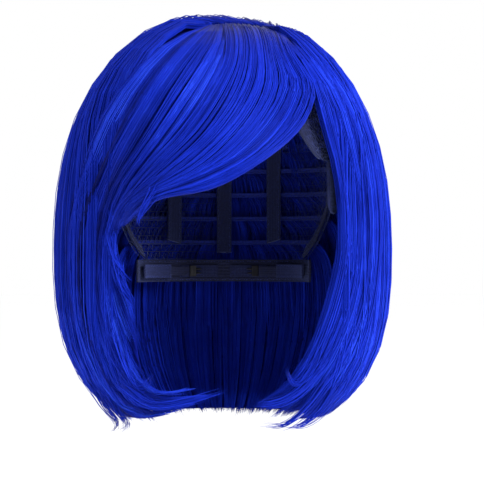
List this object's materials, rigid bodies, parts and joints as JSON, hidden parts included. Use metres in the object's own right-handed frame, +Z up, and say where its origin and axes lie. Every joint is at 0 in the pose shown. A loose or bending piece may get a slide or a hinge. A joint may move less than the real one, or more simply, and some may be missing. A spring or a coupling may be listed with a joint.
{
  "type": "costume wig",
  "caption": "Chin-length straight bob wig with a long side-swept fringe, on an elastic net cap with sewn wefts, ear tabs and nape size straps.",
  "frame": {"origin": "middle of the head that fills the cap, at brow height, halfway between forehead and nape", "axes": "+Z up, the face looks along -Y, +X to the wearer's left"},
  "size_m": [0.2146, 0.2214, 0.258],
  "materials": {
    "hair_fibre": "glossy straight royal blue synthetic fibre",
    "net_cloth": "dark navy stretch net",
    "weft_thread": "machine-sewn weft binding, dark blue",
    "elastic": "soft navy elastic webbing",
    "skin_cloth": "fine beige skin-top cloth",
    "hook_plastic": "black moulded plastic"
  },
  "bodies": {
    "cap": {"cap_net": "net_cloth", "forehead_band": "elastic", "nape_band": "elastic", "centre_tape": "elastic", "crown_tape": "elastic", "right_tape": "elastic", "left_tape": "elastic", "side_band_right": "elastic", "side_band_left": "elastic", "skin_top": "skin_cloth", "weft_track_1": "weft_thread", "weft_track_2": "weft_thread", "weft_track_3": "weft_thread", "weft_track_4": "weft_thread", "weft_track_5": "weft_thread", "weft_track_6": "weft_thread", "weft_track_7": "weft_thread", "weft_track_8": "weft_thread", "hook_loop_tape_right": "elastic", "hook_loop_tape_left": "elastic", "strap_casing_right": "elastic", "strap_casing_left": "elastic", "crown_hair": "hair_fibre"},
    "fringe": {"fringe_hair": "hair_fibre"},
    "right_hair": {"side_hair_right": "hair_fibre", "front_lock_right": "hair_fibre"},
    "left_hair": {"side_hair_left": "hair_fibre", "front_lock_left": "hair_fibre"},
    "nape_hair": {"back_hair": "hair_fibre"},
    "right_adjuster": {"adjuster_strap_right": "elastic", "adjuster_hook_right": "hook_plastic"},
    "left_adjuster": {"adjuster_strap_left": "elastic", "adjuster_hook_left": "hook_plastic"},
    "right_ear_tab": {"ear_tab_right": "net_cloth", "ear_stay_right": "hook_plastic"},
    "left_ear_tab": {"ear_tab_left": "net_cloth", "ear_stay_left": "hook_plastic"}
  },
  "joints": [
    {"name": "fringe_lift", "type": "hinge", "parent": "cap", "child": "fringe", "pos_m": [0, -0.088, 0.063], "axis": [-1, 0, 0], "range_deg": [0, 20], "stiffness_Nm_per_rad": 0.05},
    {"name": "right_curtain_swing", "type": "hinge", "parent": "cap", "child": "right_hair", "pos_m": [-0.104, 0, 0.007], "axis": [0, 1, 0], "range_deg": [0, 18], "stiffness_Nm_per_rad": 0.12},
    {"name": "left_curtain_swing", "type": "hinge", "parent": "cap", "child": "left_hair", "pos_m": [0.104, 0, 0.007], "axis": [0, -1, 0], "range_deg": [0, 18], "stiffness_Nm_per_rad": 0.12},
    {"name": "back_curtain_swing", "type": "hinge", "parent": "cap", "child": "nape_hair", "pos_m": [0, 0.1125, 0.007], "axis": [1, 0, 0], "range_deg": [0, 16], "stiffness_Nm_per_rad": 0.12},
    {"name": "right_strap_travel", "type": "hinge", "parent": "cap", "child": "right_adjuster", "pos_m": [0, 0.02, -0.057], "axis": [0, 0, -1], "range_deg": [0, 14]},
    {"name": "left_strap_travel", "type": "hinge", "parent": "cap", "child": "left_adjuster", "pos_m": [0, 0.02, -0.057], "axis": [0, 0, 1], "range_deg": [0, 14]},
    {"name": "right_tab_bend", "type": "hinge", "parent": "cap", "child": "right_ear_tab", "pos_m": [-0.069, -0.03531, 0.012], "axis": [-0.3039, 0.9527, 0], "range_deg": [-8, 10]},
    {"name": "left_tab_bend", "type": "hinge", "parent": "cap", "child": "left_ear_tab", "pos_m": [0.069, -0.03531, 0.012], "axis": [-0.3039, -0.9527, 0], "range_deg": [-8, 10]}
  ]
}
